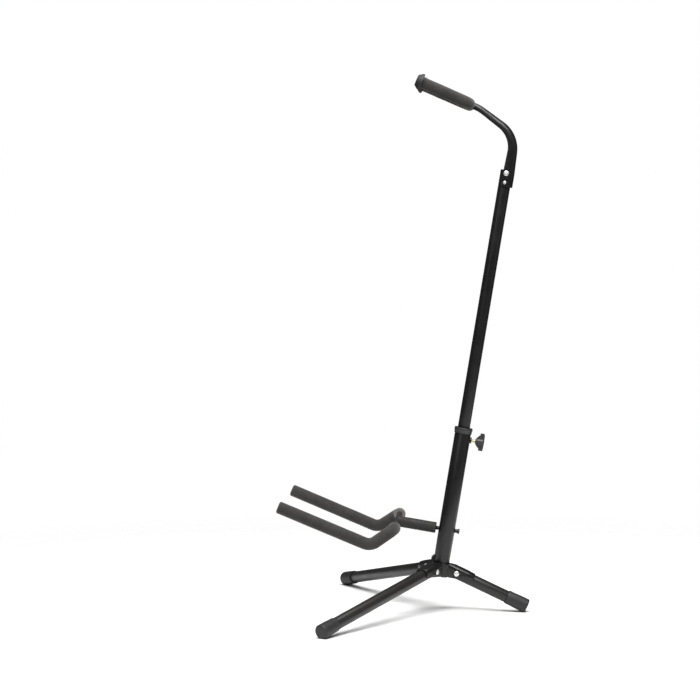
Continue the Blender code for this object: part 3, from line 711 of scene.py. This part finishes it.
def build_knob(materials):
    """Wing knob: the frame's knob remeshed and softened like a moulding."""
    source = frame["nodes"]["clamp_knob"]
    bm = bmesh.new()
    bm.from_mesh(source.data)
    bmesh.ops.remove_doubles(bm, verts=bm.verts, dist=0.00001)
    piece = new_piece("wing_knob", bm, materials["plastic"], "clamp", "black_plastic",
                      "clamp_knob")
    remesh = piece.modifiers.new("remesh", "REMESH")
    remesh.mode = "VOXEL"
    remesh.voxel_size = 0.00035
    remesh.use_smooth_shade = True
    smooth = piece.modifiers.new("soften", "SMOOTH")
    smooth.factor = 0.5
    smooth.iterations = 8


def build_collar(materials):
    """Collar bush, turned: skirt, flange with rolled edges, and the plug inside."""
    origin = Vector(JOINTS["mast_turn"]["pos_m"])
    top = max(reach_along("collar_bush", origin, UP))
    foot, seat = top - COLLAR_LENGTH, top - COLLAR_TOP
    hem = seat - COLLAR_SKIRT
    bore, skirt = UPPER_R + GAP, LOWER_R + GAP
    plug = LOWER_R - PLUG_CLEARANCE - GAP
    edge, lip = 0.0008, 0.0006
    profile = [(bore, foot), (plug - 0.0004, foot), (plug, foot + 0.0010), (plug, seat),
               (skirt, seat), (skirt, hem), (skirt + 0.0005, hem), (skirt + 0.0006, hem + 0.0015),
               (COLLAR_R - 0.0003, seat - 0.0007), (COLLAR_R, seat - 0.0001),
               (COLLAR_R, top - 0.0010), *arc((COLLAR_R - edge, top - edge), edge, 0, 90, 5),
               (bore + 0.0008, top), *arc((bore + lip, top - lip), lip, 90, 180, 4)]
    bm = lathe(profile, 96)
    bmesh.ops.transform(bm, verts=bm.verts, matrix=basis(origin, UP))
    new_piece("collar", bm, materials["plastic"], "base", "black_plastic", "collar_bush")


# ---------------------------------------------------------------- frame's own metal

def dress_frame(materials):
    """Materials and softened edges for the CAD nodes that stay."""
    plain = plain_normals()
    for name, finish in FINISHES.items():
        node = frame["nodes"][name]
        for slot in node.material_slots:
            slot.material = materials[finish]
        soften(node, ROUNDING.get(name, 0.0), plain)


def plain_normals():
    """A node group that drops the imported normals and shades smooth, as a modifier."""
    group = bpy.data.node_groups.new("plain_normals", "GeometryNodeTree")
    for way in ("INPUT", "OUTPUT"):
        group.interface.new_socket("Geometry", in_out=way, socket_type="NodeSocketGeometry")
    kinds = ("NodeGroupInput", "GeometryNodeRemoveAttribute", "GeometryNodeSetShadeSmooth",
             "NodeGroupOutput")
    chain = [group.nodes.new(kind) for kind in kinds]
    chain[1].inputs["Name"].default_value = "custom_normal"
    for before, after in zip(chain, chain[1:]):
        group.links.new(before.outputs[0], after.inputs[0])
    return group


def soften(node, width, plain):
    """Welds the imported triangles, rounds the sharp edges and shades the rest smooth.

    Everything is a modifier, so the node's own mesh stays as it was packed.
    """
    node.modifiers.new("plain_normals", "NODES").node_group = plain
    weld = node.modifiers.new("weld", "WELD")
    weld.merge_threshold = 0.00001
    if width:
        bevel = node.modifiers.new("round_edges", "BEVEL")
        bevel.limit_method = "ANGLE"
        bevel.angle_limit = math.radians(40)
        bevel.width = width
        bevel.segments = 2
        bevel.use_clamp_overlap = True
    split = node.modifiers.new("sharp", "EDGE_SPLIT")
    split.split_angle = SHARP


# ---------------------------------------------------------------- stage

def stage_material():
    """Pale studio floor that fades out well short of the horizon."""
    n = Nodes("studio_floor")
    colour = n.mix(n.noise(3.0, 2.0), (0.90, 0.90, 0.895), (0.93, 0.93, 0.925))
    rough = n.ramp(n.noise(12.0, 3.0), [(0.3, 0.70), (0.7, 0.85)])
    n.finish(colour, rough, n.bump(n.noise(400.0, 2.0), 0.05, 0.0001))
    away = n.add("ShaderNodeVectorMath", operation="LENGTH")
    n.link(n.place, away.inputs[0])
    fade = n.add("ShaderNodeMapRange", interpolation_type="SMOOTHSTEP")
    fade.inputs["From Min"].default_value = FLOOR_FADE
    fade.inputs["From Max"].default_value = FLOOR_EDGE
    n.link(away.outputs["Value"], fade.inputs["Value"])
    clear = n.add("ShaderNodeBsdfTransparent")
    blend = n.add("ShaderNodeMixShader")
    n.link(fade.outputs["Result"], blend.inputs[0])
    n.link(n.shader.outputs[0], blend.inputs[1])
    n.link(clear.outputs[0], blend.inputs[2])
    n.link(blend.outputs[0], n.tree.nodes["Material Output"].inputs["Surface"])
    return n.material


def build_stage():
    """A pale floor."""
    bm = bmesh.new()
    bmesh.ops.create_circle(bm, cap_ends=True, radius=FLOOR_EDGE, segments=96)
    mesh = bpy.data.meshes.new("studio_floor")
    bm.to_mesh(mesh)
    bm.free()
    mesh.materials.append(stage_material())
    floor = bpy.data.objects.new("studio_floor", mesh)
    floor.location.z = -0.0002
    bpy.context.scene.collection.objects.link(floor)


def area_light(name, azimuth, elevation, distance, size, power, aim):
    """A soft rectangular light that looks at a point, from an azimuth as the camera's."""
    data = bpy.data.lights.new(name, "AREA")
    data.shape = "RECTANGLE"
    data.size, data.size_y = size
    data.energy = power
    a, e = math.radians(azimuth), math.radians(elevation)
    out = Vector((math.sin(a) * math.cos(e), -math.cos(a) * math.cos(e), math.sin(e)))
    light = bpy.data.objects.new(name, data)
    light.location = aim + out * distance
    light.rotation_euler = (-out).to_track_quat("-Z", "Y").to_euler()
    bpy.context.scene.collection.objects.link(light)


def build_world():
    """White to look at, and dim to be lit by, so that black tubes stay black."""
    world = bpy.data.worlds.new("studio")
    world.use_nodes = True
    tree = world.node_tree
    seen = tree.nodes["Background"]
    seen.inputs["Color"].default_value = (1.0, 1.0, 1.0, 1.0)
    seen.inputs["Strength"].default_value = 1.0
    fill = tree.nodes.new("ShaderNodeBackground")
    fill.inputs["Color"].default_value = (1.0, 1.0, 1.0, 1.0)
    fill.inputs["Strength"].default_value = WORLD_FILL
    path = tree.nodes.new("ShaderNodeLightPath")
    blend = tree.nodes.new("ShaderNodeMixShader")
    tree.links.new(path.outputs["Is Camera Ray"], blend.inputs[0])
    tree.links.new(fill.outputs[0], blend.inputs[1])
    tree.links.new(seen.outputs[0], blend.inputs[2])
    tree.links.new(blend.outputs[0], tree.nodes["World Output"].inputs["Surface"])
    bpy.context.scene.world = world


def build_light():
    """A big light overhead, a strip for the legs' upper edges, a fill and a mast strip.

    Each line gives the azimuth and elevation, the distance, the width and height, the
    watts, and the point that it looks at.
    """
    build_world()
    middle = (CAD_BOX[0] + CAD_BOX[1]) / 2
    mast = Vector((0.0, 0.1, 0.5))
    area_light("overhead", 100, 78, 2.3, (2.4, 2.4), 96.0, middle)
    area_light("leg_strip", 100, 54, 2.6, (2.4, 0.08), 56.0, Vector((0.0, 0.05, 0.15)))
    area_light("right_fill", 160, 8, 2.6, (2.0, 2.0), 4.0, mast)
    area_light("left_strip", 62, 10, 3.0, (0.14, 0.8), 5.0, Vector((0.0, 0.1, 0.80)))


def build_camera():
    """The camera at the photographer's place, aimed a little down."""
    data = bpy.data.cameras.new("camera")
    data.lens, data.sensor_width = LENS, SENSOR
    camera = bpy.data.objects.new("camera", data)
    flat = math.cos(VIEW_PITCH)
    out = Vector((math.sin(VIEW_AZIMUTH) * flat, -math.cos(VIEW_AZIMUTH) * flat,
                  math.sin(VIEW_PITCH)))
    camera.location = AIM + out * VIEW_DISTANCE
    camera.rotation_euler = (math.pi / 2 - VIEW_PITCH, 0.0, VIEW_AZIMUTH)
    bpy.context.scene.collection.objects.link(camera)
    bpy.context.scene.camera = camera
    bpy.context.scene.view_settings.view_transform = "Standard"


def main():
    build_camera()
    build_light()
    build_stage()
    materials = make_materials()
    dress_frame(materials)
    build_cradle_foam(materials)
    build_neck_foam(materials)
    build_neck_caps(materials)
    build_feet(materials)
    build_rivets(materials)
    build_hub_screw(materials)
    build_clamp_screw(materials)
    build_knob(materials)
    build_collar(materials)


main()
